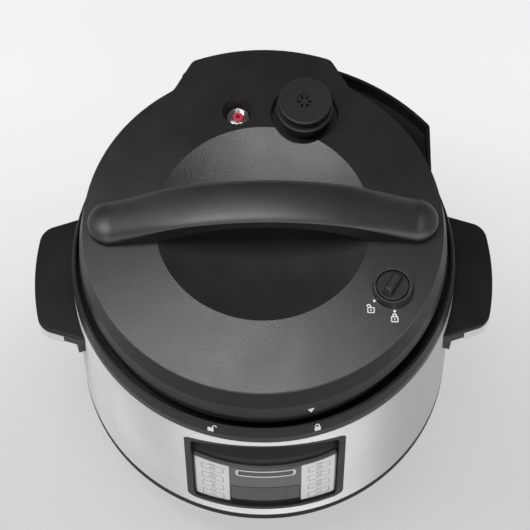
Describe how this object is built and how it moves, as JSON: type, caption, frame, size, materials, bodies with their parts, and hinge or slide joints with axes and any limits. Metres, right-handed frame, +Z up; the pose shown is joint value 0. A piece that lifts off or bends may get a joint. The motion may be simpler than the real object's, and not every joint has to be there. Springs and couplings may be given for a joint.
{
  "type": "electric pressure cooker",
  "caption": "Round electric pressure cooker with a steel body, removable pot, dished twist-lock lid with arched handle, steam-release cap, float valve and recessed front control panel.",
  "frame": {"origin": "point where the pot's axis meets the surface that the feet stand on", "axes": "+Z up along the pot's axis, -Y towards the control panel, +X to the right of someone facing the panel"},
  "size_m": [0.35, 0.3132, 0.321],
  "materials": {
    "black_plastic": "satin",
    "lid_plastic": "fine textured matte",
    "panel_plastic": "fine textured matte",
    "sleeve_steel": "brushed round the body",
    "pot_steel": "polished",
    "lid_steel": "satin",
    "screw_steel": "plated",
    "cast_aluminium": "cast",
    "liner_steel": "drawn",
    "bright_trim": "bright",
    "foot_rubber": "matte",
    "silicone": "translucent white",
    "float_red": "gloss",
    "bush_white": "satin",
    "key_film": "satin film",
    "center_film": "satin film",
    "window_film": "gloss",
    "circuit": "solder mask",
    "module_black": "matte",
    "pin_brass": "plated",
    "cup_clear": "clear",
    "magnet_black": "plated"
  },
  "bodies": {
    "base": {"base_housing": "black_plastic", "bottom_cover": "black_plastic", "rubber_feet": "foot_rubber", "bottom_screws": "screw_steel", "steel_sleeve": "sleeve_steel", "top_collar": "black_plastic", "outer_pot": "liner_steel", "heating_plate": "cast_aluminium", "heating_element": "screw_steel", "sensor_cup": "cast_aluminium", "sensor_cap": "cast_aluminium", "inner_pot": "pot_steel", "side_handle_right": "black_plastic", "side_handle_left": "black_plastic", "handle_trim_right": "bright_trim", "handle_trim_left": "bright_trim", "side_handle_screws": "screw_steel", "panel_bezel": "panel_plastic", "panel_plate": "panel_plastic", "keypad_left": "key_film", "keypad_right": "key_film", "center_overlay": "center_film", "display_window": "window_film", "control_board": "circuit", "display_module": "module_black", "power_board": "circuit", "power_inlet": "black_plastic", "inlet_pins": "pin_brass", "reed_switch": "module_black"},
    "shuttle": {"interlock_shuttle": "black_plastic", "shuttle_magnet": "magnet_black"},
    "cup": {"condensation_cup": "cup_clear"},
    "lid": {"lid_cover": "lid_plastic", "lid_skirt": "black_plastic", "handle_top": "black_plastic", "handle_base": "black_plastic", "lid_handle_screws": "screw_steel", "inner_lid": "lid_steel", "inner_lid_screws": "screw_steel", "sealing_ring": "silicone", "ring_rack": "lid_steel", "exhaust_pipe": "lid_steel", "vent_shield": "lid_steel", "valve_guide": "black_plastic", "float_bush": "bush_white"},
    "steam": {"steam_cap": "black_plastic"},
    "weight": {"valve_weight": "lid_steel"},
    "float": {"float_pin": "float_red", "float_seal": "silicone"},
    "latch": {"latch_knob": "black_plastic", "latch_spindle": "black_plastic", "latch_tongue": "black_plastic"}
  },
  "joints": [
    {"name": "lid_twist", "type": "hinge", "parent": "base", "child": "shuttle", "pos_m": [0, 0, 0.21], "axis": [0, 0, 1], "range_deg": [-30, 0]},
    {"name": "lid_lift", "type": "slide", "parent": "shuttle", "child": "lid", "axis": [0, 0, 1], "range_m": [0, 0.2]},
    {"name": "steam_release", "type": "hinge", "parent": "lid", "child": "steam", "pos_m": [0.0318, 0.0915, 0.262], "axis": [0, 0, 1], "range_deg": [0, 45]},
    {"name": "weight_lift", "type": "slide", "parent": "lid", "child": "weight", "axis": [0, 0, 1], "range_m": [0, 0.003]},
    {"name": "float_rise", "type": "slide", "parent": "lid", "child": "float", "axis": [0, 0, 1], "range_m": [0, 0.006]},
    {"name": "latch_turn", "type": "hinge", "parent": "lid", "child": "latch", "pos_m": [0.0938, -0.0535, 0.274], "axis": [0, 0, 1], "range_deg": [0, 45]},
    {"name": "cup_slide", "type": "slide", "parent": "base", "child": "cup", "axis": [0, 1, 0], "range_m": [0, 0.055]}
  ],
  "couplings": [
    {"joint": "weight_lift", "follows": "steam_release", "m_per_rad": 0.0038}
  ]
}
